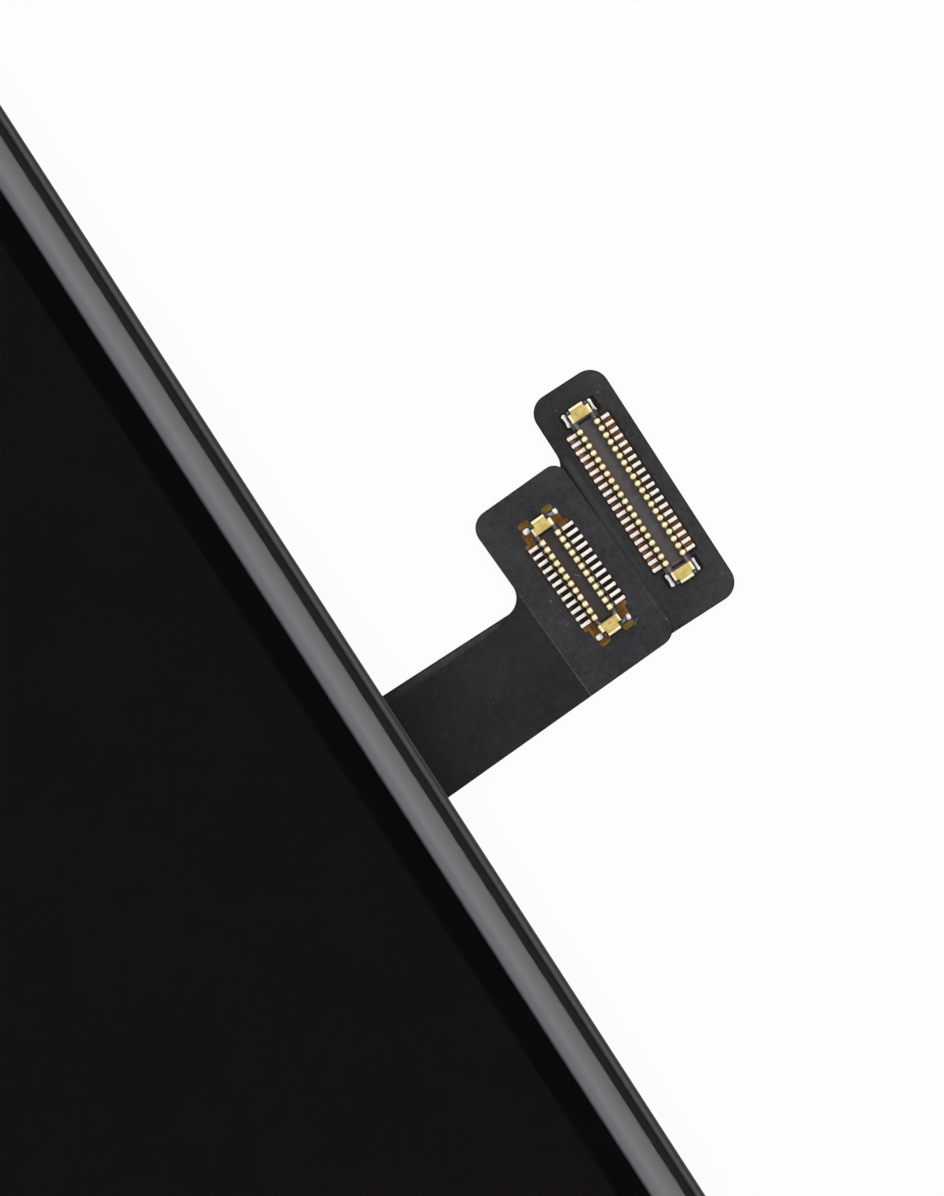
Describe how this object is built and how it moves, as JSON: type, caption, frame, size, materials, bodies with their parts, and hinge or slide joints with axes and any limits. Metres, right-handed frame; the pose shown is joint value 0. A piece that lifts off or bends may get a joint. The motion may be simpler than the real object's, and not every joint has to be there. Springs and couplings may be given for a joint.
{
  "type": "phone lcd screen assembly",
  "caption": "Mobile phone screen: bevelled black cover glass on an LCD cell and backlight in a slim moulded frame, with flexible circuits out of one side that end in board plugs.",
  "frame": {"origin": "middle of the back face, on the outer surface of the back shield", "axes": "+X across the screen towards the side where the flexible circuits leave, +Y along the screen towards the earpiece, +Z out of the cover glass"},
  "size_m": [0.0839, 0.134, 0.0031],
  "materials": {
    "glass_black": "polished, black behind",
    "ink": "printed ink",
    "clear_film": "clear optical film",
    "polarizer": "dark polarizing film",
    "cell_glass": "thin glass",
    "liquid_crystal": "filled gap",
    "sealant": "cured sealant",
    "silicon": "polished chip",
    "black_tape": "black tape",
    "white_film": "white film",
    "silver_film": "silvered film",
    "guide": "clear moulding",
    "led": "white package with yellow phosphor",
    "amber_film": "polyimide",
    "white_plastic": "white moulding",
    "steel": "pressed steel",
    "dark_steel": "blackened steel",
    "frame_plastic": "moulded, satin black",
    "adhesive": "adhesive tape",
    "foam": "soft foam",
    "mesh": "blackened mesh",
    "graphite": "graphite sheet",
    "flex_amber": "polyimide over copper",
    "coverlay": "matt dark film",
    "tail_film": "matt dark film",
    "plug_plastic": "moulded, matt black",
    "gold": "gold plated",
    "solder": "bright solder",
    "ceramic": "ceramic"
  },
  "bodies": {
    "root": {"back_shield": "steel", "backlight_frame": "white_plastic", "backlight_leds": "led", "backlight_tray": "steel", "bottom_lugs": "dark_steel", "camera_ring": "frame_plastic", "cell_seal": "sealant", "color_filter_glass": "cell_glass", "cover_glass": "glass_black", "diffuser_film": "white_film", "display_coverlay": "coverlay", "display_flex": "flex_amber", "display_flex_tape": "black_tape", "display_plug_hold_downs": "gold", "display_plug_housing": "plug_plastic", "display_plug_left_contacts": "gold", "display_plug_right_contacts": "gold", "display_plug_solder": "solder", "driver_chip": "silicon", "earpiece_gasket": "foam", "earpiece_mesh": "mesh", "flex_bond_film": "adhesive", "flex_capacitors": "ceramic", "foam_pads": "foam", "frame_adhesive": "adhesive", "front_polarizer": "polarizer", "graphite_sheet": "graphite", "ink_border": "ink", "led_strip": "amber_film", "left_side_clips": "steel", "light_guide": "guide", "liquid_crystal": "liquid_crystal", "lower_optical_adhesive": "clear_film", "lower_prism_film": "clear_film", "pad_stiffener": "steel", "perimeter_frame": "frame_plastic", "rear_polarizer": "polarizer", "reflector_film": "silver_film", "right_side_clips": "steel", "rim_tape": "black_tape", "sensor_holder": "polarizer", "shield_screws": "dark_steel", "tail_shield_film": "tail_film", "tft_glass": "cell_glass", "top_hooks": "steel", "touch_coverlay": "coverlay", "touch_flex": "flex_amber", "touch_flex_tape": "black_tape", "touch_plug_hold_downs": "gold", "touch_plug_housing": "plug_plastic", "touch_plug_left_contacts": "gold", "touch_plug_right_contacts": "gold", "touch_plug_solder": "solder", "touch_sensor_film": "clear_film", "upper_optical_adhesive": "clear_film", "upper_prism_film": "clear_film"}
  },
  "joints": []
}
